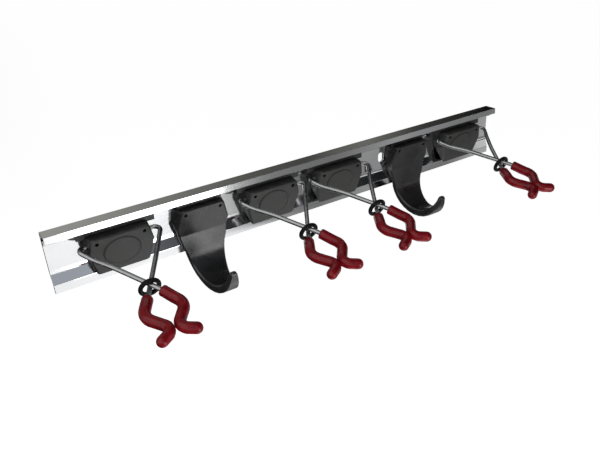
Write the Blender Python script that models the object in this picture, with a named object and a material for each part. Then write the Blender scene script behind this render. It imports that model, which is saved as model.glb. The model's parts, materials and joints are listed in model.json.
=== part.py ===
"""Wall tool holder: an aluminium wall rail that carries four swinging wire clips and two hooks.

Metres, +Z up. X runs along the rail, -Y points away from the wall, and the origin is the middle of
the rail's back face. Heights named *_h are measured from the rail's bottom edge.
"""
import math

import bmesh
import bpy
from mathutils import Matrix, Vector

# Rail: an extruded section with a top lip, a hanging cleat behind it and a kicked-out foot
RAIL_LENGTH = 0.500
RAIL_HEIGHT = 0.054
RAIL_WALL = 0.002
LIP_DEPTH = 0.014
LIP_DROP = 0.006
CLEAT_REACH = 0.0045
CLEAT_RISE = 0.004
CLEAT_WALL = 0.0015
FOOT_HEIGHT = 0.0073
FOOT_KICK = 0.004
SLOPE_TOP_H = 0.017
SCREW_SLOT_WIDTH = 0.0065
SCREW_SLOT_HEIGHT = 0.0105
SCREW_SLOT_H = 0.031
SCREW_SLOT_X = (-0.188, 0.092)

# Where the six holders sit along the rail
CLIP_X = (-0.193, -0.048, 0.028, 0.1945)
HOOK_X = (-0.118, 0.1225)

# Clearances
SLIDE_GAP = 0.0004
SEAT_GAP = 0.0003
LIP_GAP = 0.0015
CLEAT_GAP = 0.001

# Runner: the moulded hook that hangs on the cleat
RUNNER_WALL = 0.0026
RUNNER_HANG = 0.0021
RUNNER_ROOT = 0.002
CLIP_RUNNER_LENGTH = 0.066
HOOK_RUNNER_LENGTH = 0.042
CLEAT_H = RAIL_HEIGHT - RAIL_WALL - LIP_GAP - RUNNER_HANG - SLIDE_GAP - CLEAT_RISE

# Clip base: half widths and heights of its back and front outlines, and how far the face stands out
BASE_TOP_H = CLEAT_H - CLEAT_GAP
BASE_BACK_HALF = (0.0272, 0.0288, 0.0275)
BASE_BACK_DROP = (0.0, 0.0090, 0.0160)
BASE_BACK_H = tuple(BASE_TOP_H - drop for drop in BASE_BACK_DROP)
BASE_FACE_HALF = (0.0245, 0.0280, 0.0225)
BASE_FACE_DROP = (0.0, 0.0145, 0.0350)
BASE_FACE_H = tuple(BASE_TOP_H - drop for drop in BASE_FACE_DROP)
BASE_DEPTH_TOP = 0.0205
BASE_DEPTH_BOTTOM = 0.0135
BASE_CORNER = 0.003
BASE_EDGE = 0.0012
BASE_WALL = 0.0025
EYE_RADIUS = 0.0016
EYE_INSET = 0.0045
EYE_DROP = 0.0048
EYE_X = BASE_FACE_HALF[0] - EYE_INSET
EYE_H = BASE_TOP_H - EYE_DROP
EYE_DEPTH = 0.0035
OVAL_HALF_WIDTH = 0.0155
OVAL_HALF_HEIGHT = 0.0122
OVAL_DROP = 0.0170
OVAL_H = BASE_TOP_H - OVAL_DROP
OVAL_RAISE = 0.0006
OVAL_SINK = 0.0010
OVAL_TOP_SCALE = 0.96

# Pivots of the clip arms, tilted so that a raised clip opens
PIVOT_INSET = 0.0012
PIVOT_DROP = 0.0075
PIVOT_X = BASE_BACK_HALF[0] - PIVOT_INSET
PIVOT_Y = -0.0127
PIVOT_H = BASE_TOP_H - PIVOT_DROP
PIVOT_TILT = math.radians(12.0)
PIVOT_INSERT = 0.012
BOSS_RADIUS = 0.0045

# Clip arms: bent wire with a dipped grip, drawn flat and then drooped
WIRE_RADIUS = 0.002
CLIP_DROOP = math.radians(15.0)
RING_REACH = 0.063
ARM_OUT = 0.01111
ARM_SPREAD = math.atan((PIVOT_X + ARM_OUT) / RING_REACH)
ARM_BEND = 0.005
JAW_BULGE_RUN = 0.0281
JAW_MOUTH_RUN = 0.0474
JAW_TIP_RUN = 0.0565
JAW_TIP_HALF = 0.0171
JAW_BULGE_BEND = 0.0105
JAW_MOUTH_BEND = 0.0068
JAW_MOUTH_CUT = 0.0033
GRIP_RADIUS = 0.0046
GRIP_LIP = 0.0025
GRIP_LIP_PROFILE = ((0.0, 0.72), (0.4, 0.91), (1.0, 1.0))
GRIP_END_WALL = 0.004
CROSS_LIFT = WIRE_RADIUS + SEAT_GAP
CROSS_RISE_START = 0.008
CROSS_RISE_LENGTH = 0.030
CROSS_FALL_RUN = 0.023
CROSS_FALL_END = RING_REACH + CROSS_FALL_RUN
CROSS_FALL_LENGTH = 0.016
PIVOT_RUNOUT = 0.024

# Ring round the crossing wires
RING_WIRE = 0.00185
RING_BORE_RADIUS = 0.0056
RING_RADIUS = RING_WIRE + RING_BORE_RADIUS
RING_TILT = math.radians(20.0)
RING_SAG = 0.00094
RING_AXIS_Y = -0.0078
RING_AXIS_DROP = 0.0316
RING_AXIS_H = BASE_TOP_H - RING_AXIS_DROP
GRIP_GAP = 0.00205
GRIP_START = RING_REACH + RING_RADIUS + GRIP_GAP

# Hook: half widths and heights of its base, then the arm and its bowl
HOOK_BACK_HALF = (0.0232, 0.0255, 0.0245)
HOOK_BACK_DROP = (0.0, 0.0115, 0.0190)
HOOK_BACK_H = tuple(BASE_TOP_H - drop for drop in HOOK_BACK_DROP)
HOOK_FACE_HALF = (0.0202, 0.0250, 0.0235)
HOOK_FACE_DROP = (0.0, 0.0180, 0.0270)
HOOK_FACE_H = tuple(BASE_TOP_H - drop for drop in HOOK_FACE_DROP)
HOOK_DEPTH_TOP = 0.0168
HOOK_DEPTH_BOTTOM = 0.0102
HOOK_EYE_INSET = 0.0037
HOOK_EYE_X = HOOK_FACE_HALF[0] - HOOK_EYE_INSET
BOWL_DROP = 0.0410
BOWL_H = BASE_TOP_H - BOWL_DROP
BOWL_RADIUS = 0.0245
BOWL_END = math.radians(168.0)
BOWL_STEPS = 14
ARM_HALF_TOP = 0.0232
ARM_HALF_BOWL = 0.0192
ARM_HALF_TIP = 0.0033
ARM_THICK_END = 0.0048
ARM_THICK_MID = 0.0078
ARM_ROOT_DROP = 0.0220
ARM_ROOT_H = BASE_TOP_H - ARM_ROOT_DROP
ARM_PROUD = 0.0003
ARM_EDGE = 0.0011
TIP_ROUND = 0.0022
BOWL_Y = -(RAIL_WALL + FOOT_KICK + SLIDE_GAP + SEAT_GAP + ARM_THICK_END + BOWL_RADIUS)

# Facets
CORNER_STEPS = 2
BEND_STEP = math.radians(17.0)
WIRE_SIDES = 2
GRIP_SIDES = 3
RING_SIDES = 1
RING_STEPS = 24
HOLE_STEPS = 14
LEG_PIECES = 7
GRIP_TIP_ANGLES = (0, 30, 60, 80)
HOOK_TIP_SHARES = (0.6, 0.95)
SHARP_ANGLE = math.radians(35.0)
TUBE_SHARP_ANGLE = math.radians(60.0)
FLAT_ANGLE = math.radians(0.5)
MERGE_DISTANCE = 0.00001

COLLECTION = "wall_tool_holder"
CUTTER_COLLECTION = "wall_tool_holder_cutters"


def up(height):
    """World Z of a height over the rail's bottom edge."""
    return height - RAIL_HEIGHT / 2


def clear_scene():
    for item in list(bpy.data.objects):
        bpy.data.objects.remove(item, do_unlink=True)


def make_collection(name):
    old = bpy.data.collections.get(name)
    if old:
        bpy.data.collections.remove(old)
    new = bpy.data.collections.new(name)
    bpy.context.scene.collection.children.link(new)
    return new


def make_material(name, colour, roughness, metallic):
    material = bpy.data.materials.new(name)
    material.use_nodes = True
    shader = material.node_tree.nodes["Principled BSDF"]
    shader.inputs["Base Color"].default_value = (*colour, 1.0)
    shader.inputs["Roughness"].default_value = roughness
    shader.inputs["Metallic"].default_value = metallic
    return material


def mesh_from(bm, name, sharp_angle=SHARP_ANGLE):
    bmesh.ops.recalc_face_normals(bm, faces=bm.faces)
    if bm.calc_volume(signed=True) < 0:
        bmesh.ops.reverse_faces(bm, faces=bm.faces)
    mesh = bpy.data.meshes.new(name)
    bm.to_mesh(mesh)
    bm.free()
    mesh.shade_smooth()
    mesh.set_sharp_from_angle(angle=sharp_angle)
    return mesh


def add_object(name, mesh, collection, material=None, location=(0, 0, 0)):
    item = bpy.data.objects.new(name, mesh)
    item.location = location
    if material and not mesh.materials:
        mesh.materials.append(material)
    collection.objects.link(item)
    return item


def boolean(target, cutter, operation):
    """Apply one exact Boolean to the target's mesh and drop the cutter's object."""
    modifier = target.modifiers.new("cut", "BOOLEAN")
    modifier.operation = operation
    modifier.object = cutter
    modifier.solver = "EXACT"
    bpy.context.view_layer.update()
    evaluated = target.evaluated_get(bpy.context.evaluated_depsgraph_get())
    result = bpy.data.meshes.new_from_object(evaluated)
    target.modifiers.clear()
    target.data = result
    bpy.data.objects.remove(cutter, do_unlink=True)


def tidy_mesh(item):
    """Merge doubled points, dissolve flat seams and set the shading of a cut mesh."""
    bm = bmesh.new()
    bm.from_mesh(item.data)
    bmesh.ops.remove_doubles(bm, verts=bm.verts, dist=MERGE_DISTANCE)
    bmesh.ops.dissolve_limit(bm, angle_limit=FLAT_ANGLE, verts=bm.verts, edges=bm.edges)
    bmesh.ops.triangulate(bm, faces=bm.faces)
    mesh = mesh_from(bm, item.name)
    item.data = mesh


def prism(name, outline, length, collection):
    """Extrude a closed (y, z) outline along X, centred on x = 0."""
    bm = bmesh.new()
    ring = [bm.verts.new((-length / 2, y, z)) for y, z in outline]
    face = bm.faces.new(ring)
    moved = bmesh.ops.extrude_face_region(bm, geom=[face])["geom"]
    verts = [v for v in moved if isinstance(v, bmesh.types.BMVert)]
    bmesh.ops.translate(bm, verts=verts, vec=(length, 0, 0))
    return add_object(name, mesh_from(bm, name), collection)


def cylinder(name, start, end, radius, collection):
    """A closed cylinder between two points."""
    start, end = Vector(start), Vector(end)
    bm = bmesh.new()
    bmesh.ops.create_cone(bm, cap_ends=True, segments=HOLE_STEPS, radius1=radius, radius2=radius,
                          depth=(end - start).length)
    turn = (end - start).to_track_quat("Z", "Y").to_matrix().to_4x4()
    bm.transform(Matrix.Translation((start + end) / 2) @ turn)
    return add_object(name, mesh_from(bm, name), collection)


def rounded(corners, radii, steps):
    """A closed outline in which each corner is an arc of the given number of steps."""
    points = []
    count = len(corners)
    for i, corner in enumerate(corners):
        corner = Vector(corner)
        before = (Vector(corners[i - 1]) - corner).normalized()
        after = (Vector(corners[(i + 1) % count]) - corner).normalized()
        points += arc_at(corner, before, after, radii[i], steps)
    return points


def arc_at(corner, before, after, radius, steps):
    """Points of the arc that rounds a corner, from the side of before to the side of after."""
    half = before.angle(after) / 2
    centre = corner + (before + after).normalized() * radius / math.sin(half)
    first = corner + before * radius / math.tan(half) - centre
    last = corner + after * radius / math.tan(half) - centre
    sweep = first.angle(last)
    points = []
    for k in range(steps + 1):
        t = k / steps
        spread = math.sin(sweep)
        points.append(centre + first * (math.sin((1 - t) * sweep) / spread)
                      + last * (math.sin(t * sweep) / spread))
    return points


def loft(name, loops, collection):
    """Close a row of loops with equal counts into one solid."""
    bm = bmesh.new()
    rings = [[bm.verts.new(p) for p in loop] for loop in loops]
    count = len(rings[0])
    for a, b in zip(rings, rings[1:]):
        for i in range(count):
            j = (i + 1) % count
            bm.faces.new((a[i], a[j], b[j], b[i]))
    bm.faces.new(rings[0])
    bm.faces.new(reversed(rings[-1]))
    return add_object(name, mesh_from(bm, name), collection)


def tube(name, points, radius, sides, collection, scales=None, cyclic=False):
    """A capped tube mesh along points, made from a bevelled curve."""
    curve = bpy.data.curves.new(name, "CURVE")
    curve.dimensions = "3D"
    curve.bevel_depth = radius
    curve.bevel_resolution = sides
    curve.use_fill_caps = True
    spline = curve.splines.new("POLY")
    spline.points.add(len(points) - 1)
    for i, point in enumerate(points):
        spline.points[i].co = (*point, 1.0)
        spline.points[i].radius = scales[i] if scales else 1.0
    spline.use_cyclic_u = cyclic
    guide = bpy.data.objects.new(name + "_curve", curve)
    collection.objects.link(guide)
    bpy.context.view_layer.update()
    raw = bpy.data.meshes.new_from_object(guide.evaluated_get(bpy.context.evaluated_depsgraph_get()))
    bm = bmesh.new()
    bm.from_mesh(raw)
    bmesh.ops.remove_doubles(bm, verts=bm.verts, dist=MERGE_DISTANCE)
    bpy.data.objects.remove(guide, do_unlink=True)
    return add_object(name, mesh_from(bm, name, TUBE_SHARP_ANGLE), collection)


def rail_outline():
    """The extruded section, from the foot's back edge round by the front to the back face."""
    wall = RAIL_WALL
    cleat_front = -(wall + CLEAT_REACH)
    cleat_top = CLEAT_H + CLEAT_WALL
    lip_h = RAIL_HEIGHT - LIP_DROP
    section = [
        (-FOOT_KICK, 0), (-FOOT_KICK - wall, 0), (-FOOT_KICK - wall, FOOT_HEIGHT), (-wall, SLOPE_TOP_H),
        (-wall, CLEAT_H), (cleat_front, CLEAT_H), (cleat_front, CLEAT_H + CLEAT_RISE),
        (cleat_front + CLEAT_WALL, CLEAT_H + CLEAT_RISE), (cleat_front + CLEAT_WALL, cleat_top),
        (-wall, cleat_top), (-wall, RAIL_HEIGHT - wall), (wall - LIP_DEPTH, RAIL_HEIGHT - wall),
        (wall - LIP_DEPTH, lip_h), (-LIP_DEPTH, lip_h), (-LIP_DEPTH, RAIL_HEIGHT), (0, RAIL_HEIGHT),
        (0, SLOPE_TOP_H), (-FOOT_KICK, FOOT_HEIGHT),
    ]
    return [(y, up(h)) for y, h in section]


def make_rail(parts, cutters, material):
    rail = prism("rail", rail_outline(), RAIL_LENGTH, parts)
    half = SCREW_SLOT_WIDTH / 2
    reach = (SCREW_SLOT_HEIGHT - SCREW_SLOT_WIDTH) / 2
    for x in SCREW_SLOT_X:
        loops = []
        for y in (RAIL_WALL, -2 * RAIL_WALL):
            loop = []
            for k in range(HOLE_STEPS):
                angle = 2 * math.pi * (k + 0.5) / HOLE_STEPS
                shift = math.copysign(reach, math.sin(angle))
                loop.append((x + half * math.cos(angle), y,
                             up(SCREW_SLOT_H) + half * math.sin(angle) + shift))
            loops.append(loop)
        boolean(rail, loft("screw_slot", loops, cutters), "DIFFERENCE")
    tidy_mesh(rail)
    rail.data.materials.append(material)


def runner_outline():
    """The hook that hangs on the cleat, seen from its end, with its root inside the base."""
    front = -(RAIL_WALL + CLEAT_REACH + SLIDE_GAP)
    cleat_top = CLEAT_H + CLEAT_RISE
    inside = -(RAIL_WALL + CLEAT_REACH - CLEAT_WALL - SLIDE_GAP)
    back = -(RAIL_WALL + SLIDE_GAP)
    top = cleat_top + SLIDE_GAP + RUNNER_HANG
    section = [
        (front, BASE_TOP_H - RUNNER_ROOT), (front, cleat_top + SLIDE_GAP), (inside, cleat_top + SLIDE_GAP),
        (inside, cleat_top - RUNNER_HANG), (back, cleat_top - RUNNER_HANG), (back, top),
        (front - RUNNER_WALL, top), (front - RUNNER_WALL, BASE_TOP_H - RUNNER_ROOT),
    ]
    return [(y, up(h)) for y, h in section]


def face_y(height, top, bottom, depth_top, depth_bottom):
    """Y of a sloping front face at a height."""
    share = (top - height) / (top - bottom)
    return -(depth_top + (depth_bottom - depth_top) * share)


def six_corners(halves, heights, inset=0.0):
    """Corners of an outline in (x, height), counter-clockwise seen from the front."""
    low, high = heights[2] + inset, heights[0] - inset
    rows = [(halves[0] - inset, high), (halves[1] - inset, heights[1]), (halves[2] - inset, low)]
    return [(-x, h) for x, h in rows] + [(x, h) for x, h in reversed(rows)]


def housing(name, back, face, depths, collection, wall=0.0):
    """Loft from a back outline to a sloping face; wall above zero gives the hollow inside it."""
    halves, heights = face
    top, bottom = heights[0], heights[2]

    def at(corners, radius, stand_back):
        loop = rounded(corners, [radius] * 6, CORNER_STEPS)
        return [(p.x, face_y(p.y, top, bottom, *depths) + stand_back, up(p.y)) for p in loop]

    back_y = -(RAIL_WALL + SLIDE_GAP) + (RAIL_WALL if wall else 0.0)
    back_loop = rounded(six_corners(*back, wall), [BASE_CORNER / 2] * 6, CORNER_STEPS)
    loops = [[(p.x, back_y, up(p.y)) for p in back_loop]]
    loops.append(at(six_corners(halves, heights, wall), BASE_CORNER, wall + BASE_EDGE))
    loops.append(at(six_corners(halves, heights, wall + BASE_EDGE), BASE_CORNER, wall))
    return loft(name, loops, collection)


def oval_plate(depths, heights, collection):
    """Raised bare oval on a sloping face."""
    loops = []
    for stand, scale in ((OVAL_SINK, 1.0), (-OVAL_RAISE / 2, 1.0), (-OVAL_RAISE, OVAL_TOP_SCALE)):
        loop = []
        for k in range(RING_STEPS):
            angle = 2 * math.pi * k / RING_STEPS
            h = OVAL_H + OVAL_HALF_HEIGHT * scale * math.sin(angle)
            y = face_y(h, heights[0], heights[2], *depths) + stand
            loop.append((OVAL_HALF_WIDTH * scale * math.cos(angle), y, up(h)))
        loops.append(loop)
    return loft("oval", loops, collection)


def cut_eyes(target, eye_x, depths, heights, cutters):
    """Two small round holes in the upper corners of a face."""
    y = face_y(EYE_H, heights[0], heights[2], *depths)
    slope = math.atan2(depths[0] - depths[1], heights[0] - heights[2])
    inward = Vector((0, math.cos(slope), math.sin(slope)))
    for x in (-eye_x, eye_x):
        face = Vector((x, y, up(EYE_H)))
        boolean(target, cylinder("eye", face - inward * EYE_DEPTH, face + inward * EYE_DEPTH,
                                 EYE_RADIUS, cutters), "DIFFERENCE")


def pivot_axis(side):
    """Unit vector along an arm's pivot, outward and up."""
    return Vector((side * math.cos(PIVOT_TILT), 0, math.sin(PIVOT_TILT)))


def make_clip_base(cutters):
    """The moulded base of a clip, shared by the four clips."""
    back = (BASE_BACK_HALF, BASE_BACK_H)
    face = (BASE_FACE_HALF, BASE_FACE_H)
    depths = (BASE_DEPTH_TOP, BASE_DEPTH_BOTTOM)
    base = housing("base", back, face, depths, cutters)
    boolean(base, housing("hollow", back, face, depths, cutters, BASE_WALL), "DIFFERENCE")
    boolean(base, prism("runner", runner_outline(), CLIP_RUNNER_LENGTH, cutters), "UNION")
    boolean(base, oval_plate(depths, BASE_FACE_H, cutters), "UNION")
    for side in (-1, 1):
        mouth = Vector((side * PIVOT_X, PIVOT_Y, up(PIVOT_H)))
        axis = pivot_axis(side)
        boss_end = mouth - axis * (PIVOT_INSERT + BASE_WALL)
        boss = cylinder("boss", boss_end, mouth - axis * BASE_WALL / 2, BOSS_RADIUS, cutters)
        boolean(base, boss, "UNION")
        bore_end = mouth - axis * (PIVOT_INSERT + SEAT_GAP)
        bore_radius = WIRE_RADIUS + SEAT_GAP
        bore = cylinder("bore", bore_end, mouth + axis * PIVOT_INSERT, bore_radius, cutters)
        boolean(base, bore, "DIFFERENCE")
    cut_eyes(base, EYE_X, depths, BASE_FACE_H, cutters)
    tidy_mesh(base)
    return base


def smooth(t):
    t = min(max(t, 0.0), 1.0)
    return t * t * (3 - 2 * t)


def flat_arm():
    """The left arm drawn flat: (across, forward) points from the bend's start to the tip."""
    corner = (-RING_REACH * math.tan(ARM_SPREAD), 0.0)
    bulge = (JAW_BULGE_RUN * math.tan(ARM_SPREAD), RING_REACH + JAW_BULGE_RUN)
    mouth = (GRIP_RADIUS - JAW_MOUTH_CUT, RING_REACH + JAW_MOUTH_RUN)
    tip = (JAW_TIP_HALF, RING_REACH + JAW_TIP_RUN)
    stops = [Vector(p) for p in ((-PIVOT_X, 0.0), corner, bulge, mouth, tip)]
    radii = (ARM_BEND, JAW_BULGE_BEND, JAW_MOUTH_BEND)
    points = []
    for i, radius in enumerate(radii, start=1):
        before = (stops[i - 1] - stops[i]).normalized()
        after = (stops[i + 1] - stops[i]).normalized()
        turn = math.pi - before.angle(after)
        points += arc_at(stops[i], before, after, radius, max(2, round(turn / BEND_STEP)))
    points.append(stops[-1])
    return points


def between(first, last, pieces):
    """Even points between two places, without the two ends."""
    return [first.lerp(last, k / pieces) for k in range(1, pieces)]


def arm_path(side):
    """Centre line of an arm about its pivot, side -1 on the left; left passes over right."""
    flat = flat_arm()
    split = next(i for i, p in enumerate(flat) if p.y > RING_REACH)
    leg = between(flat[split - 1], flat[split], LEG_PIECES)
    flat = flat[:split] + leg + flat[split:]
    path = []
    travel = -flat[0].x - PIVOT_X
    for i, p in enumerate(flat):
        travel += (p - flat[i - 1]).length if i else 0.0
        lift = CROSS_LIFT * smooth((p.y - CROSS_RISE_START) / CROSS_RISE_LENGTH)
        lift *= smooth((CROSS_FALL_END - p.y) / CROSS_FALL_LENGTH) * -side
        lift += math.tan(PIVOT_TILT) * travel * (1 - smooth(travel / PIVOT_RUNOUT))
        y = -p.y * math.cos(CLIP_DROOP) - lift * math.sin(CLIP_DROOP)
        z = -p.y * math.sin(CLIP_DROOP) + lift * math.cos(CLIP_DROOP)
        path.append((p.y, Vector((-side * (p.x + PIVOT_X), y, z))))
    return path


def make_arm(side, cutters):
    """Wire and grip of one arm, about the arm's pivot."""
    path = arm_path(side)
    tip = path[-1][1]
    inward = (path[-2][1] - tip).normalized()
    stub = -pivot_axis(side) * PIVOT_INSERT
    wire_points = [stub] + [p for _, p in path[:-1]] + [tip + inward * (GRIP_END_WALL + SEAT_GAP)]
    wire = tube("wire", wire_points, WIRE_RADIUS, WIRE_SIDES, cutters)

    start = next(i for i, (reach, _) in enumerate(path) if reach > GRIP_START)
    share = (GRIP_START - path[start - 1][0]) / (path[start][0] - path[start - 1][0])
    first = path[start - 1][1].lerp(path[start][1], share)
    forward = (path[start][1] - first).normalized()
    points = [first + forward * GRIP_LIP * share for share, _ in GRIP_LIP_PROFILE]
    scales = [scale for _, scale in GRIP_LIP_PROFILE]
    body = [p for reach, p in path[start:-1] if (p - first).length > 2 * GRIP_LIP]
    points += body
    scales += [1.0] * len(body)
    for angle in GRIP_TIP_ANGLES:
        turn = math.radians(angle)
        points.append(tip + inward * GRIP_RADIUS * (1 - math.sin(turn)))
        scales.append(math.cos(turn))
    grip = tube("grip", points, GRIP_RADIUS, GRIP_SIDES, cutters, scales)
    bore = [first - forward * GRIP_LIP] + [p for _, p in path[start:-1]] + [tip + inward * GRIP_END_WALL]
    boolean(grip, tube("grip_bore", bore, WIRE_RADIUS + SEAT_GAP, WIRE_SIDES, cutters), "DIFFERENCE")
    tidy_mesh(grip)
    return wire.data, grip.data


def make_ring(cutters):
    """The loose ring round the crossing, about the line that its travel turns on."""
    centre_y = PIVOT_Y - RING_REACH * math.cos(CLIP_DROOP) - RING_AXIS_Y
    centre_h = PIVOT_H - RING_REACH * math.sin(CLIP_DROOP) - RING_SAG - RING_AXIS_H
    points = []
    for k in range(RING_STEPS):
        angle = 2 * math.pi * k / RING_STEPS
        high = RING_RADIUS * math.sin(angle)
        points.append((RING_RADIUS * math.cos(angle), centre_y - high * math.sin(RING_TILT),
                       centre_h + high * math.cos(RING_TILT)))
    return tube("ring", points, RING_WIRE, RING_SIDES, cutters, cyclic=True).data


def arm_loop(front, back, half):
    """One eight-sided section of the hook's arm, square to the line from its front to its back."""
    front, back = Vector(front), Vector(back)
    through = (back - front).normalized()
    edge = min(ARM_EDGE, half / 2)
    rows = ((half - edge, front), (half, front + through * edge), (half, back - through * edge),
            (half - edge, back))
    loop = [(x, p.x, up(p.y)) for x, p in rows]
    return loop + [(-x, y, z) for x, y, z in reversed(loop)]


def rail_front(height):
    """Y of the rail's front below the cleat, plus the sliding clearance."""
    slope = (SLOPE_TOP_H - height) / (SLOPE_TOP_H - FOOT_HEIGHT)
    return -(RAIL_WALL + SLIDE_GAP + FOOT_KICK * min(max(slope, 0.0), 1.0))


def hook_loops():
    """Sections of the hook's arm from inside its base, down the leg and round the bowl."""
    top, bottom = HOOK_FACE_H[0], HOOK_FACE_H[2]
    root_y = face_y(ARM_ROOT_H, top, bottom, HOOK_DEPTH_TOP, HOOK_DEPTH_BOTTOM)
    root_back = rail_front(ARM_ROOT_H) - SLIDE_GAP
    neck_back = rail_front(bottom) - SLIDE_GAP
    knee_back = rail_front(FOOT_HEIGHT) - SLIDE_GAP
    knee_y = (BOWL_Y + BOWL_RADIUS - HOOK_DEPTH_BOTTOM) / 2 - ARM_PROUD
    knee_half = (ARM_HALF_TOP + ARM_HALF_BOWL) / 2
    loops = [
        arm_loop((root_y + ARM_EDGE, ARM_ROOT_H), (root_back, ARM_ROOT_H), ARM_HALF_TOP - ARM_EDGE),
        arm_loop((-HOOK_DEPTH_BOTTOM - ARM_PROUD, bottom), (neck_back, bottom), ARM_HALF_TOP),
        arm_loop((knee_y, FOOT_HEIGHT), (knee_back, FOOT_HEIGHT), knee_half),
    ]
    for k in range(BOWL_STEPS + 1):
        share = k / BOWL_STEPS
        angle = BOWL_END * share
        thick = ARM_THICK_END + (ARM_THICK_MID - ARM_THICK_END) * math.sin(math.pi * share)
        outward = Vector((math.cos(angle), -math.sin(angle)))
        inner = Vector((BOWL_Y, BOWL_H)) + outward * BOWL_RADIUS
        half = ARM_HALF_BOWL + (ARM_HALF_TIP - ARM_HALF_BOWL) * share
        loops.append(arm_loop(inner, inner + outward * thick, half))
    middle = inner + outward * thick / 2
    onward = Vector((-math.sin(BOWL_END), -math.cos(BOWL_END)))
    for share in HOOK_TIP_SHARES:
        shrink = math.sqrt(1 - share * share)
        place = middle + onward * TIP_ROUND * share
        reach = outward * thick / 2 * shrink
        loops.append(arm_loop(place - reach, place + reach, ARM_HALF_TIP * shrink))
    return loops


def make_hook(cutters):
    """Hook and base in one moulding, shared by the two hooks."""
    back = (HOOK_BACK_HALF, HOOK_BACK_H)
    face = (HOOK_FACE_HALF, HOOK_FACE_H)
    depths = (HOOK_DEPTH_TOP, HOOK_DEPTH_BOTTOM)
    hook = housing("hook", back, face, depths, cutters)
    boolean(hook, prism("runner", runner_outline(), HOOK_RUNNER_LENGTH, cutters), "UNION")
    boolean(hook, loft("arm", hook_loops(), cutters), "UNION")
    cut_eyes(hook, HOOK_EYE_X, depths, HOOK_FACE_H, cutters)
    tidy_mesh(hook)
    return hook


def make_clips(parts, cutters, materials):
    base = make_clip_base(cutters)
    base.data.materials.append(materials["plastic"])
    ring = make_ring(cutters)
    arms = {side: make_arm(side, cutters) for side in (-1, 1)}
    for number, x in enumerate(CLIP_X, start=1):
        add_object(f"clip_{number}_base", base.data, parts, location=(x, 0, 0))
        ring_place = (x, RING_AXIS_Y, up(RING_AXIS_H))
        add_object(f"clip_{number}_ring", ring, parts, materials["rubber"], ring_place)
        for side, word in ((-1, "left"), (1, "right")):
            place = (x + side * PIVOT_X, PIVOT_Y, up(PIVOT_H))
            wire, grip = arms[side]
            add_object(f"clip_{number}_{word}_wire", wire, parts, materials["wire"], place)
            add_object(f"clip_{number}_{word}_grip", grip, parts, materials["grip"], place)


def make_hooks(parts, cutters, materials):
    hook = make_hook(cutters)
    hook.data.materials.append(materials["plastic"])
    for number, x in enumerate(HOOK_X, start=1):
        add_object(f"hook_{number}", hook.data, parts, location=(x, 0, 0))


def main():
    clear_scene()
    parts = make_collection(COLLECTION)
    cutters = make_collection(CUTTER_COLLECTION)
    materials = {
        "aluminium": make_material("bright_aluminium", (0.75, 0.76, 0.78), 0.25, 1.0),
        "plastic": make_material("black_plastic", (0.03, 0.03, 0.032), 0.5, 0.0),
        "wire": make_material("zinc_wire", (0.6, 0.61, 0.62), 0.35, 1.0),
        "grip": make_material("red_dip", (0.55, 0.03, 0.035), 0.35, 0.0),
        "rubber": make_material("black_rubber", (0.02, 0.02, 0.022), 0.6, 0.0),
    }
    make_rail(parts, cutters, materials["aluminium"])
    make_clips(parts, cutters, materials)
    make_hooks(parts, cutters, materials)
    for item in list(cutters.objects):
        bpy.data.objects.remove(item, do_unlink=True)


main()
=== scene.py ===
"""Looks of the wall tool holder: its finishes, soft edges, smooth wires, grips and rings, and the studio.

Metres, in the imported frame: X runs along the rail, -Y points away from the wall, +Z up.
"""
import json
import math

import bmesh
import bpy
from mathutils import Matrix, Vector


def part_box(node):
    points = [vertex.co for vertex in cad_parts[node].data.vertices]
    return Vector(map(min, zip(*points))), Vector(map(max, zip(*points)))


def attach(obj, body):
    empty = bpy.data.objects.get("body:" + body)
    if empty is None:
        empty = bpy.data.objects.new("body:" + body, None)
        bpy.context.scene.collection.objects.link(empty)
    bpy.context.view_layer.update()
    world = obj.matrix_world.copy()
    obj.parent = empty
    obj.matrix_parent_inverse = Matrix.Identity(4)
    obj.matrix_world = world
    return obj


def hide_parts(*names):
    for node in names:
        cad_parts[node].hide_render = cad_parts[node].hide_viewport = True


# Camera of the photograph: place, turn to the right of +Y, dip, roll, and lens in mm for the sensor's width
CAMERA_PLACE = (-0.3106, -0.4839, 0.2425)
CAMERA_TURN = math.radians(31.80)
CAMERA_DIP = math.radians(26.65)
CAMERA_ROLL = math.radians(-3.34)
CAMERA_LENS = 38.03
CAMERA_NEAR = 0.01
SENSOR_WIDTH = 36.0

# Studio: the floor, its glow for the camera and for mirrors, and the world's light on everything else
WHITE = (1.0, 1.0, 1.0, 1.0)
FLOOR_Z = -0.75
FLOOR_HALF = 30.0
FLOOR_COLOUR = (0.80, 0.80, 0.80, 1.0)
FLOOR_ROUGHNESS = 0.9
FLOOR_GLOW = 0.85
WORLD_LIGHT = 0.15

# Painted reflections, glowing sheets that only mirrors see: how far off they stand, how high they lie over
# the floor, and the pieces between two stops
REFLECTION_DISTANCE = 3.0
REFLECTION_LIFT = 0.01
REFLECTION_PIECES = 6

# Noise: the part of its range that colours and roughness are spread over
NOISE_LOW = 0.3
NOISE_HIGH = 0.7

# Rail: its section, with heights (_H) from its foot, and the wider bend and leaning lip of the scene alone
RAIL_HEIGHT = 0.054
RAIL_WALL = 0.002
LIP_DEPTH = 0.014
LIP_LEAN = 0.0005
SLOPE_TOP_H = 0.017
SLOPE_BEND = 0.0028
BEND_PIECES = 8
ROUND_PROFILE = 0.5

# Holders, as the record counts them
CLIPS = (1, 2, 3, 4)
HOOKS = (1, 2)
SIDES = (("left", -1), ("right", 1))

# Pivots of the clip arms
PIVOT_X = 0.026
PIVOT_TILT = math.radians(12.0)
PIVOT_INSERT = 0.012
PIVOT_RUNOUT = 0.024

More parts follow.
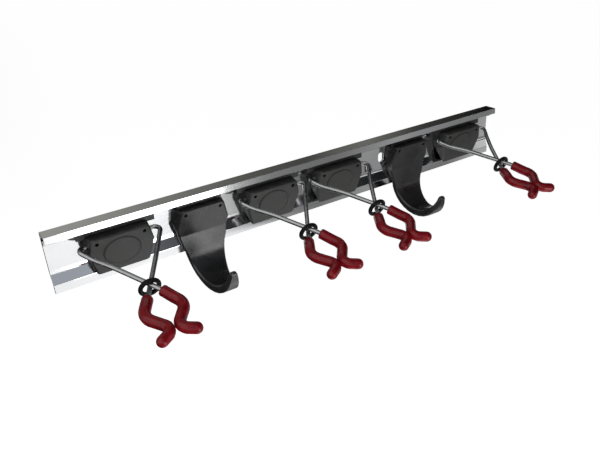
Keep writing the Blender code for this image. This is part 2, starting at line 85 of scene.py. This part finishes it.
# Route of an arm's wire, drawn flat from the pivot to the crossing and then drooped
WIRE_RADIUS = 0.002
CLIP_DROOP = math.radians(15.0)
RING_REACH = 0.063
ARM_OUT = 0.01111
ARM_SPREAD = math.atan((PIVOT_X + ARM_OUT) / RING_REACH)
ARM_BEND = 0.005

# Jaw: how far past the crossing its bulge, mouth and tip are, and its bends
JAW_BULGE_RUN = 0.0281
JAW_BULGE_BEND = 0.0105
JAW_MOUTH_RUN = 0.0474
JAW_MOUTH_BEND = 0.0068
JAW_MOUTH_CUT = 0.0033
JAW_TIP_RUN = 0.0565
JAW_TIP_HALF = 0.0171

# Crossing: how far the left arm rises and the right one sinks, and where along them that begins and ends
CROSS_LIFT = 0.0023
CROSS_RISE_START = 0.008
CROSS_RISE_LENGTH = 0.030
CROSS_FALL_RUN = 0.023
CROSS_FALL_LENGTH = 0.016

# Grips: size, start along the arm, steps of shoulder and tip in degrees, and a dip coat's slight waves
GRIP_RADIUS = 0.0046
GRIP_START = 0.0725
GRIP_SHOULDER = 0.0016
SHOULDER_TURNS = (0, 20, 40, 60, 90)
TIP_TURNS = range(0, 90, 12)
END_PIECES = 6
WAVE_HEIGHT = 0.012
WAVE_FAST = 1.7
WAVE_SLOW = 0.6

# Rim round the bare oval on a clip base's sloping face
BASE_TOP_H = 0.043
BASE_FACE_HEIGHT = 0.035
BASE_DEPTH_TOP = 0.0205
BASE_DEPTH_BOTTOM = 0.0135
OVAL_HALF_WIDTH = 0.0155
OVAL_HALF_HEIGHT = 0.0122
OVAL_DROP = 0.0170
OVAL_RAISE = 0.0006
RIM_RADIUS = 0.0004
RIM_STEPS = 72
RIM_SIDES = 8

# Ring round the crossing
RING_RADIUS = 0.00745
RING_WIRE = 0.00185
RING_TILT = math.radians(20.0)
RING_STEPS = 64

# Mesh detail
ROUTE_STEP = math.radians(6.0)
FEWEST_STEPS = 4
LEG_PIECES = 24
TUBE_SIDES = 16
GRIP_SIDES = 20
SOFT_EDGE = 0.00035
SOFT_PIECES = 3
SOFT_ANGLE = math.radians(15.0)
MERGE_DISTANCE = 0.000002
FLAT_ANGLE = math.radians(0.3)
NEAR = 0.00005


def new_material(name, metallic=0.0):
    """A material with a Principled shader; returns the material, its tree and the shader."""
    material = bpy.data.materials.new(name)
    material.use_nodes = True
    tree = material.node_tree
    shader = tree.nodes["Principled BSDF"]
    shader.inputs["Metallic"].default_value = metallic
    return material, tree, shader


def noise(tree, scale, detail, stretch=(1.0, 1.0, 1.0)):
    """Noise over the piece's own coordinates, in metres, stretched by scaling each axis."""
    coords = tree.nodes.new("ShaderNodeTexCoord")
    mapping = tree.nodes.new("ShaderNodeMapping")
    mapping.inputs["Scale"].default_value = stretch
    texture = tree.nodes.new("ShaderNodeTexNoise")
    texture.inputs["Scale"].default_value = scale
    texture.inputs["Detail"].default_value = detail
    tree.links.new(coords.outputs["Object"], mapping.inputs["Vector"])
    tree.links.new(mapping.outputs["Vector"], texture.inputs["Vector"])
    return texture.outputs["Fac"]


def roughen(tree, shader, value, low, high):
    """Spread the roughness from low to high by a noise value."""
    node = tree.nodes.new("ShaderNodeMapRange")
    node.inputs["From Min"].default_value = NOISE_LOW
    node.inputs["From Max"].default_value = NOISE_HIGH
    node.inputs["To Min"].default_value = low
    node.inputs["To Max"].default_value = high
    tree.links.new(value, node.inputs["Value"])
    tree.links.new(node.outputs["Result"], shader.inputs["Roughness"])


def tint(tree, shader, value, dark, light):
    """Spread the base colour from dark to light by a noise value."""
    ramp = tree.nodes.new("ShaderNodeValToRGB")
    ramp.color_ramp.elements[0].position = NOISE_LOW
    ramp.color_ramp.elements[0].color = (*dark, 1.0)
    ramp.color_ramp.elements[1].position = NOISE_HIGH
    ramp.color_ramp.elements[1].color = (*light, 1.0)
    tree.links.new(value, ramp.inputs["Fac"])
    tree.links.new(ramp.outputs["Color"], shader.inputs["Base Color"])


def bump(tree, shader, value, depth, before=None):
    """Raise the surface by a noise value times a depth in metres; before is an earlier bump."""
    node = tree.nodes.new("ShaderNodeBump")
    node.inputs["Distance"].default_value = depth
    tree.links.new(value, node.inputs["Height"])
    if before:
        tree.links.new(before.outputs["Normal"], node.inputs["Normal"])
    tree.links.new(node.outputs["Normal"], shader.inputs["Normal"])
    return node


def make_aluminium():
    """Bright extruded aluminium: fine die lines along the rail and faint cloudy patches."""
    material, tree, shader = new_material("bright_aluminium", metallic=1.0)
    lines = noise(tree, scale=1.0, detail=4.0, stretch=(6.0, 1400.0, 1400.0))
    clouds = noise(tree, scale=28.0, detail=2.0)
    tint(tree, shader, clouds, dark=(0.82, 0.83, 0.845), light=(0.89, 0.895, 0.90))
    roughen(tree, shader, lines, low=0.07, high=0.11)
    bump(tree, shader, lines, depth=0.0000012)
    return material


def make_base_plastic():
    """Satin black moulding with a spark-eroded grain."""
    material, tree, shader = new_material("satin_black_moulding")
    patches = noise(tree, scale=90.0, detail=3.0)
    tint(tree, shader, patches, dark=(0.011, 0.011, 0.0105), light=(0.019, 0.019, 0.0175))
    roughen(tree, shader, patches, low=0.40, high=0.54)
    shader.inputs["Specular IOR Level"].default_value = 0.8
    pebbles = bump(tree, shader, noise(tree, scale=950.0, detail=2.0), depth=0.00011)
    bump(tree, shader, noise(tree, scale=2600.0, detail=2.0), depth=0.00004, before=pebbles)
    return material


def make_hook_plastic():
    """Smoother, glossier black moulding."""
    material, tree, shader = new_material("gloss_black_moulding")
    patches = noise(tree, scale=60.0, detail=3.0)
    tint(tree, shader, patches, dark=(0.009, 0.009, 0.0093), light=(0.015, 0.015, 0.0155))
    roughen(tree, shader, patches, low=0.22, high=0.34)
    shader.inputs["Specular IOR Level"].default_value = 0.9
    bump(tree, shader, noise(tree, scale=1500.0, detail=2.0), depth=0.00002)
    return material


def make_wire():
    """Zinc-plated wire with a fine grain and a slightly uneven bloom."""
    material, tree, shader = new_material("zinc_plated_wire", metallic=1.0)
    bloom = noise(tree, scale=420.0, detail=3.0)
    tint(tree, shader, bloom, dark=(0.38, 0.385, 0.39), light=(0.50, 0.505, 0.51))
    roughen(tree, shader, bloom, low=0.24, high=0.38)
    bump(tree, shader, noise(tree, scale=2400.0, detail=2.0), depth=0.00001)
    return material


def make_grip():
    """Glossy red dip coat, a little uneven as it dried."""
    material, tree, shader = new_material("red_dip_coat")
    clouds = noise(tree, scale=160.0, detail=3.0)
    tint(tree, shader, clouds, dark=(0.125, 0.003, 0.006), light=(0.20, 0.005, 0.010))
    roughen(tree, shader, clouds, low=0.24, high=0.36)
    shader.inputs["Specular IOR Level"].default_value = 0.12
    shader.inputs["Coat Weight"].default_value = 0.4
    shader.inputs["Coat Roughness"].default_value = 0.12
    waves = bump(tree, shader, noise(tree, scale=240.0, detail=1.0), depth=0.0002)
    bump(tree, shader, noise(tree, scale=1800.0, detail=2.0), depth=0.00002, before=waves)
    return material


def make_rubber():
    """Black rubber of the rings."""
    material, tree, shader = new_material("black_rubber")
    patches = noise(tree, scale=700.0, detail=3.0)
    tint(tree, shader, patches, dark=(0.005, 0.005, 0.0055), light=(0.009, 0.009, 0.0095))
    roughen(tree, shader, patches, low=0.34, high=0.52)
    shader.inputs["Specular IOR Level"].default_value = 0.1
    bump(tree, shader, patches, depth=0.00004)
    return material


def add_piece(name, bm, material, body, node):
    """Finish a mesh as a smooth piece that rides on a body and stands for a CAD node, if one is given."""
    bmesh.ops.recalc_face_normals(bm, faces=bm.faces)
    if bm.calc_volume(signed=True) < 0:
        bmesh.ops.reverse_faces(bm, faces=bm.faces)
    mesh = bpy.data.meshes.new(name)
    bm.to_mesh(mesh)
    bm.free()
    mesh.materials.clear()
    mesh.materials.append(material)
    mesh.shade_smooth()
    piece = bpy.data.objects.new(name, mesh)
    bpy.context.scene.collection.objects.link(piece)
    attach(piece, body)
    if node:
        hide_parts(node)
    return piece


def on_line(vert, line):
    """Whether a vertex lies on the line along X through a (y, z) point."""
    return abs(vert.co.y - line[0]) + abs(vert.co.z - line[1]) < NEAR


def soften(frame, node, name, material, body, bends=(), lean=None):
    """A copy of a CAD solid with its seams joined and its edges rounded.

    bends are the (y, z) lines along X that get a wide bend, and lean is a line that is moved back.
    """
    bm = bmesh.new()
    bm.from_mesh(frame["nodes"][node].data)
    bmesh.ops.remove_doubles(bm, verts=bm.verts, dist=MERGE_DISTANCE)
    bmesh.ops.dissolve_limit(bm, angle_limit=FLAT_ANGLE, verts=bm.verts, edges=bm.edges)
    for bend in bends:
        line = [edge for edge in bm.edges if all(on_line(vert, bend) for vert in edge.verts)]
        bmesh.ops.bevel(bm, geom=line, offset=SLOPE_BEND, segments=BEND_PIECES, profile=ROUND_PROFILE,
                        affect="EDGES")
    if lean:
        for vert in [vert for vert in bm.verts if on_line(vert, lean)]:
            vert.co.y += LIP_LEAN
    piece = add_piece(name, bm, material, body, node)
    edges = piece.modifiers.new("soft_edges", "BEVEL")
    edges.width = SOFT_EDGE
    edges.segments = SOFT_PIECES
    edges.limit_method = "ANGLE"
    edges.angle_limit = SOFT_ANGLE
    edges.use_clamp_overlap = True
    normals = piece.modifiers.new("face_normals", "WEIGHTED_NORMAL")
    normals.keep_sharp = False


def smooth(t):
    """Ease from 0 to 1 as t goes there, level at both ends."""
    t = min(max(t, 0.0), 1.0)
    return t * t * (3 - 2 * t)


def around(count):
    """Angles of a full turn in equal steps."""
    return [2 * math.pi * k / count for k in range(count)]


def arc_at(corner, before, after, radius):
    """Points of the arc that rounds a corner, about one for each route step."""
    half = before.angle(after) / 2
    centre = corner + (before + after).normalized() * radius / math.sin(half)
    first = corner + before * radius / math.tan(half) - centre
    last = corner + after * radius / math.tan(half) - centre
    sweep = first.angle(last)
    steps = max(FEWEST_STEPS, round(sweep / ROUTE_STEP))
    shares = [k / steps for k in range(steps + 1)]
    return [centre + (first * math.sin((1 - t) * sweep) + last * math.sin(t * sweep)) / math.sin(sweep)
            for t in shares]


def flat_arm():
    """The left arm drawn flat: (across, forward) points from the bend's start to the tip."""
    corner = (-(PIVOT_X + ARM_OUT), 0.0)
    bulge = (JAW_BULGE_RUN * math.tan(ARM_SPREAD), RING_REACH + JAW_BULGE_RUN)
    mouth = (GRIP_RADIUS - JAW_MOUTH_CUT, RING_REACH + JAW_MOUTH_RUN)
    tip = (JAW_TIP_HALF, RING_REACH + JAW_TIP_RUN)
    stops = [Vector(p) for p in ((-PIVOT_X, 0.0), corner, bulge, mouth, tip)]
    points = []
    for i, radius in enumerate((ARM_BEND, JAW_BULGE_BEND, JAW_MOUTH_BEND), start=1):
        before = (stops[i - 1] - stops[i]).normalized()
        after = (stops[i + 1] - stops[i]).normalized()
        points += arc_at(stops[i], before, after, radius)
    points.append(stops[-1])
    return points


def arm_path(side):
    """Centre line of an arm about its pivot with each point's reach; left passes over right."""
    flat = flat_arm()
    split = next(i for i, p in enumerate(flat) if p.y > RING_REACH)
    leg = [flat[split - 1].lerp(flat[split], k / LEG_PIECES) for k in range(1, LEG_PIECES)]
    flat = flat[:split] + leg + flat[split:]
    fall_end = RING_REACH + CROSS_FALL_RUN
    path = []
    travel = -flat[0].x - PIVOT_X
    for i, p in enumerate(flat):
        travel += (p - flat[i - 1]).length if i else 0.0
        lift = CROSS_LIFT * smooth((p.y - CROSS_RISE_START) / CROSS_RISE_LENGTH)
        lift *= smooth((fall_end - p.y) / CROSS_FALL_LENGTH) * -side
        lift += math.tan(PIVOT_TILT) * travel * (1 - smooth(travel / PIVOT_RUNOUT))
        y = -p.y * math.cos(CLIP_DROOP) - lift * math.sin(CLIP_DROOP)
        z = -p.y * math.sin(CLIP_DROOP) + lift * math.cos(CLIP_DROOP)
        path.append((p.y, Vector((-side * (p.x + PIVOT_X), y, z))))
    return path


def tube(points, radii, sides, closed=False):
    """A tube along points with a radius at each, its rings turned as little as possible."""
    bm = bmesh.new()
    count = len(points)
    across = None
    rings = []
    for i, point in enumerate(points):
        if closed:
            along = (points[(i + 1) % count] - points[i - 1]).normalized()
        else:
            along = (points[min(i + 1, count - 1)] - points[max(i - 1, 0)]).normalized()
        guess = across if across else along.orthogonal()
        across = (guess - along * guess.dot(along)).normalized()
        other = along.cross(across)
        ring = []
        for angle in around(sides):
            spoke = across * math.cos(angle) + other * math.sin(angle)
            ring.append(bm.verts.new(point + spoke * radii[i]))
        rings.append(ring)
    pairs = list(zip(rings, rings[1:]))
    if closed:
        pairs.append((rings[-1], rings[0]))
    for a, b in pairs:
        for k in range(sides):
            j = (k + 1) % sides
            bm.faces.new((a[k], a[j], b[j], b[k]))
    if not closed:
        bm.faces.new(rings[0])
        bm.faces.new(reversed(rings[-1]))
    return bm


def along_path(path, start):
    """Points of a route from a reach onwards, with the exact starting point first."""
    first = next(i for i, (reach, _) in enumerate(path) if reach > start)
    share = (start - path[first - 1][0]) / (path[first][0] - path[first - 1][0])
    return [path[first - 1][1].lerp(path[first][1], share)] + [p for _, p in path[first:]]


def grip_profile(points):
    """Points and radii of a dip coat: a rounded shoulder, a slightly wavy length and a round tip."""
    tip = points[-1]
    inward = (points[-2] - tip).normalized()
    forward = (points[1] - points[0]).normalized()
    out = []
    radii = []
    for degrees in SHOULDER_TURNS:
        turn = math.radians(degrees)
        out.append(points[0] + forward * GRIP_SHOULDER * (1 - math.cos(turn)))
        radii.append(GRIP_RADIUS - GRIP_SHOULDER * (1 - math.sin(turn)))
    body = [p for p in points[1:-1] if (p - points[0]).length > 2 * GRIP_SHOULDER]
    for k, p in enumerate(body):
        wave = WAVE_HEIGHT * math.sin(WAVE_FAST * k) * math.sin(WAVE_SLOW * k)
        out.append(p)
        radii.append(GRIP_RADIUS * (1 + wave))
    for k in range(1, END_PIECES):
        out.append(body[-1].lerp(tip + inward * GRIP_RADIUS, k / END_PIECES))
        radii.append(GRIP_RADIUS)
    for degrees in TIP_TURNS:
        turn = math.radians(degrees)
        out.append(tip + inward * GRIP_RADIUS * (1 - math.sin(turn)))
        radii.append(GRIP_RADIUS * math.cos(turn))
    return out, radii


def make_arm(number, word, side, joints, materials):
    """Smooth wire and grip of one arm, set on its pivot."""
    pivot = Vector(joints[f"clip_{number}_{word}_swing"]["pos_m"])
    body = f"clip_{number}_{word}_arm"
    path = arm_path(side)
    axis = Vector((side * math.cos(PIVOT_TILT), 0.0, math.sin(PIVOT_TILT)))
    stub = -axis * PIVOT_INSERT
    tip = path[-1][1]
    inward = (path[-2][1] - tip).normalized()
    route = [stub, stub / 2, Vector((0.0, 0.0, 0.0))] + [p for _, p in path[:-1]]
    route.append(tip + inward * GRIP_RADIUS)
    wire = tube([pivot + p for p in route], [WIRE_RADIUS] * len(route), TUBE_SIDES)
    node = f"clip_{number}_{word}_wire"
    add_piece(node + "_smooth", wire, materials["wire"], body, node)

    points, radii = grip_profile([pivot + p for p in along_path(path, GRIP_START)])
    node = f"clip_{number}_{word}_grip"
    add_piece(node + "_coat", tube(points, radii, GRIP_SIDES), materials["grip"], body, node)


def make_ring(number, materials):
    """Smooth ring round the crossing, in the middle of its CAD solid."""
    node = f"clip_{number}_ring"
    low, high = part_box(node)
    centre = (Vector(low) + Vector(high)) / 2
    points = []
    for angle in around(RING_STEPS):
        rise = RING_RADIUS * math.sin(angle)
        points.append(centre + Vector((RING_RADIUS * math.cos(angle), -rise * math.sin(RING_TILT),
                                       rise * math.cos(RING_TILT))))
    ring = tube(points, [RING_WIRE] * RING_STEPS, TUBE_SIDES, closed=True)
    add_piece(node + "_smooth", ring, materials["rubber"], node, node)


def make_rim(number, place, materials):
    """A thin bead round the bare oval of a clip base; place is the base's position along the rail."""
    points = []
    for angle in around(RIM_STEPS):
        drop = OVAL_DROP - OVAL_HALF_HEIGHT * math.sin(angle)
        depth = BASE_DEPTH_TOP + (BASE_DEPTH_BOTTOM - BASE_DEPTH_TOP) * drop / BASE_FACE_HEIGHT
        points.append(Vector((place + OVAL_HALF_WIDTH * math.cos(angle), -depth - OVAL_RAISE / 2,
                              BASE_TOP_H - drop - RAIL_HEIGHT / 2)))
    rim = tube(points, [RIM_RADIUS] * RIM_STEPS, RIM_SIDES, closed=True)
    name = f"clip_{number}_oval_rim"
    add_piece(name, rim, materials["base"], f"clip_{number}_carriage", None)


def dress(frame):
    """Put smooth and softened pieces with their finishes in place of the frame's faceted ones."""
    materials = {"rail": make_aluminium(), "base": make_base_plastic(), "hook": make_hook_plastic(),
                 "wire": make_wire(), "grip": make_grip(), "rubber": make_rubber()}
    joints = {joint["name"]: joint for joint in frame["record"]["behaviour"]["joints"]}
    slope_top = SLOPE_TOP_H - RAIL_HEIGHT / 2
    soften(frame, "rail", "rail_extrusion", materials["rail"], "rail",
           bends=((-RAIL_WALL, slope_top), (0.0, slope_top)), lean=(-LIP_DEPTH, RAIL_HEIGHT / 2))
    for number in CLIPS:
        node = f"clip_{number}_base"
        soften(frame, node, node + "_moulding", materials["base"], f"clip_{number}_carriage")
        low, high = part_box(node)
        make_rim(number, (low[0] + high[0]) / 2, materials)
        make_ring(number, materials)
        for word, side in SIDES:
            make_arm(number, word, side, joints, materials)
    for number in HOOKS:
        node = f"hook_{number}"
        soften(frame, node, node + "_moulding", materials["hook"], f"{node}_carriage")


def seen_or_mirrored(tree):
    """1 for rays from the camera and for mirrored or refracted ones, which then see the white studio."""
    light = tree.nodes.new("ShaderNodeLightPath")
    value = light.outputs["Is Camera Ray"]
    for name in ("Is Glossy Ray", "Is Transmission Ray"):
        either = tree.nodes.new("ShaderNodeMath")
        either.operation = "MAXIMUM"
        tree.links.new(value, either.inputs[0])
        tree.links.new(light.outputs[name], either.inputs[1])
        value = either.outputs["Value"]
    return value


def make_floor():
    """A wide pale floor well below the part, which still takes its shadow."""
    bpy.ops.mesh.primitive_plane_add(size=2 * FLOOR_HALF, location=(0, 0, FLOOR_Z))
    floor = bpy.context.object
    floor.name = "floor"
    material, tree, shader = new_material("pale_floor")
    shader.inputs["Base Color"].default_value = FLOOR_COLOUR
    shader.inputs["Roughness"].default_value = FLOOR_ROUGHNESS
    glow = tree.nodes.new("ShaderNodeMath")
    glow.operation = "MULTIPLY"
    glow.inputs[1].default_value = FLOOR_GLOW
    tree.links.new(seen_or_mirrored(tree), glow.inputs[0])
    shader.inputs["Emission Color"].default_value = WHITE
    tree.links.new(glow.outputs["Value"], shader.inputs["Emission Strength"])
    floor.data.materials.append(material)


def make_world():
    """White where the camera or a mirror looks, and a soft grey light elsewhere."""
    world = bpy.data.worlds.new("studio")
    bpy.context.scene.world = world
    world.use_nodes = True
    tree = world.node_tree
    background = tree.nodes["Background"]
    background.inputs["Color"].default_value = WHITE
    level = tree.nodes.new("ShaderNodeMapRange")
    level.inputs["To Min"].default_value = WORLD_LIGHT
    level.inputs["To Max"].default_value = 1.0
    tree.links.new(seen_or_mirrored(tree), level.inputs["Value"])
    tree.links.new(level.outputs["Result"], background.inputs["Strength"])


def make_lamp(name, place, aim, size, power, mirrored=False):
    """A soft box at a place, aimed at a point, which mirrors show only if asked for."""
    lamp = bpy.data.lights.new(name, "AREA")
    lamp.shape = "RECTANGLE"
    lamp.size, lamp.size_y = size
    lamp.energy = power
    item = bpy.data.objects.new(name, lamp)
    item.location = place
    item.rotation_euler = (Vector(aim) - Vector(place)).to_track_quat("-Z", "Y").to_euler()
    item.visible_camera = False
    item.visible_glossy = mirrored
    bpy.context.scene.collection.objects.link(item)


def direction(turn, rise):
    """Unit vector at a turn to the right of +Y and a rise over the horizon, in degrees."""
    turn = math.radians(turn)
    rise = math.radians(rise)
    return Vector((math.sin(turn) * math.cos(rise), math.cos(turn) * math.cos(rise), math.sin(rise)))


def painted_reflection_mesh(name, stops, rises, cast, distance):
    """Mesh of a glowing sheet of painted reflection, its grey blended between its stops."""
    bm = bmesh.new()
    shade = bm.verts.layers.float_color.new("shade")
    rows = []
    for (turn, grey), (next_turn, next_grey) in zip(stops, stops[1:]):
        for k in range(REFLECTION_PIECES + 1):
            share = k / REFLECTION_PIECES
            level = grey + (next_grey - grey) * share
            row = []
            for rise in rises:
                way = direction(turn + (next_turn - turn) * share, rise)
                reach = distance if rise > 0 else (FLOOR_Z + REFLECTION_LIFT) / way.z
                vert = bm.verts.new(way * reach)
                vert[shade] = (*(level * part for part in cast), 1.0)
                row.append(vert)
            rows.append(row)
    for a, b in zip(rows, rows[1:]):
        bm.faces.new((a[0], b[0], b[1], a[1]))
    mesh = bpy.data.meshes.new(name)
    bm.to_mesh(mesh)
    bm.free()
    return mesh


def make_painted_reflection(name, stops, rises, cast=(1.0, 1.0, 1.0), distance=REFLECTION_DISTANCE):
    """A glowing sheet of painted reflection that only mirrors see, with a turn in degrees and a grey level
    at each of its stops.

    It stands round the part from the first rise to the second, or lies on the floor if both are negative.
    """
    mesh = painted_reflection_mesh(name, stops, rises, cast, distance)
    reflection_sheet = bpy.data.objects.new(name, mesh)
    bpy.context.scene.collection.objects.link(reflection_sheet)
    material = bpy.data.materials.new(name)
    material.use_nodes = True
    tree = material.node_tree
    tree.nodes.remove(tree.nodes["Principled BSDF"])
    colour = tree.nodes.new("ShaderNodeVertexColor")
    colour.layer_name = "shade"
    light = tree.nodes.new("ShaderNodeEmission")
    tree.links.new(colour.outputs["Color"], light.inputs["Color"])
    tree.links.new(light.outputs["Emission"], tree.nodes["Material Output"].inputs["Surface"])
    mesh.materials.append(material)
    # Painted reflection: the sheet glows but hides from the camera, from diffuse light and from shadows, so
    # only mirrors show it.
    reflection_sheet.visible_camera = False
    reflection_sheet.visible_diffuse = False
    reflection_sheet.visible_shadow = False


def make_studio():
    """Floor, world, soft boxes, and the glowing sheets of painted reflection that the bright metal mirrors.
    """
    make_floor()
    make_world()
    make_lamp("front_box", place=(0.08, -0.90, -0.19), aim=(-0.10, 0.0, -0.02),
              size=(0.36, 0.34), power=1.2, mirrored=True)
    make_lamp("left_fill", place=(-0.38, -0.70, -0.02), aim=(0.0, -0.03, 0.0),
              size=(0.5, 0.5), power=2.4)
    make_lamp("overhead_fill", place=(-0.55, -0.15, 0.75), aim=(-0.05, -0.03, 0.0),
              size=(0.6, 0.6), power=3.6)
    make_lamp("low_fill", place=(0.14, -0.55, -0.45), aim=(0.0, -0.11, -0.02),
              size=(0.2, 0.2), power=2.6)
    # Painted reflections: glowing grey sheets, dark or bright at each turn, that the metal and glossy
    # mouldings mirror; they light nothing and cast no shadow.
    back = ((-70.0, 0.18), (-6.0, 0.20), (2.0, 0.33), (26.0, 0.09), (33.0, 0.06), (40.0, 0.15),
            (46.0, 0.045), (53.0, 0.006), (90.0, 0.004))
    make_painted_reflection("back_painted_reflection", back, rises=(4.0, 88.0), cast=(1.0, 1.0, 0.92))
    upper = ((-5.0, 0.60), (62.0, 0.60))
    make_painted_reflection("upper_painted_reflection", upper, rises=(36.0, 54.0), distance=2.0)
    front = ((215.0, 0.40), (174.0, 0.38), (169.0, 0.13), (161.0, 0.03), (145.0, 0.03), (141.0, 0.01),
             (90.0, 0.01))
    make_painted_reflection("front_painted_reflection", front, rises=(0.5, 88.0), cast=(0.94, 1.0, 1.10))
    right = ((130.0, 0.60), (124.0, 0.60))
    make_painted_reflection("right_painted_reflection", right, rises=(5.0, 20.0), distance=2.0)
    floor_back = ((-120.0, 0.03), (0.0, 0.03), (8.0, 0.40), (90.0, 0.40))
    make_painted_reflection("back_floor_painted_reflection", floor_back, rises=(-80.0, -4.0))
    floor_right = ((167.0, 1.0), (163.0, 0.75), (158.0, 0.46), (154.0, 0.20), (146.0, 0.16), (140.0, 0.30),
                   (130.0, 0.15), (127.0, 0.42), (95.0, 0.42))
    make_painted_reflection("right_floor_painted_reflection", floor_right, rises=(-28.0, -2.0))
    floor_near = ((165.0, 1.0), (146.0, 1.0), (135.0, 0.40), (126.0, 0.12), (95.0, 0.12))
    make_painted_reflection("near_floor_painted_reflection", floor_near, rises=(-70.0, -28.0))
    floor_left = ((240.0, 0.03), (187.0, 0.03))
    make_painted_reflection("left_floor_painted_reflection", floor_left, rises=(-60.0, -2.0))


def make_camera():
    """The photograph's camera."""
    data = bpy.data.cameras.new("camera")
    data.lens = CAMERA_LENS
    data.sensor_width = SENSOR_WIDTH
    data.sensor_fit = "HORIZONTAL"
    data.clip_start = CAMERA_NEAR
    camera = bpy.data.objects.new("camera", data)
    turn = Matrix.Rotation(-CAMERA_TURN, 4, "Z") @ Matrix.Rotation(math.pi / 2 - CAMERA_DIP, 4, "X")
    turn = turn @ Matrix.Rotation(CAMERA_ROLL, 4, "Z")
    camera.matrix_world = Matrix.Translation(CAMERA_PLACE) @ turn
    bpy.context.scene.collection.objects.link(camera)
    bpy.context.scene.camera = camera


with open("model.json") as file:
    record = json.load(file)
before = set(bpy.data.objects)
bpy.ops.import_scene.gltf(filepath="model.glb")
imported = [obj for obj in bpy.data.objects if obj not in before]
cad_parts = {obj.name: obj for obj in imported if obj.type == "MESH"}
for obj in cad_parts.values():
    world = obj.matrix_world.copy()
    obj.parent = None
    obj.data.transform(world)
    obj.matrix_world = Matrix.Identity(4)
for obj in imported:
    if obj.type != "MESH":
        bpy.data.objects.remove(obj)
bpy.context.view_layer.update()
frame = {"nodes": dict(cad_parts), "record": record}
bpy.context.scene.view_settings.view_transform = "Standard"
dress(frame)
make_studio()
make_camera()
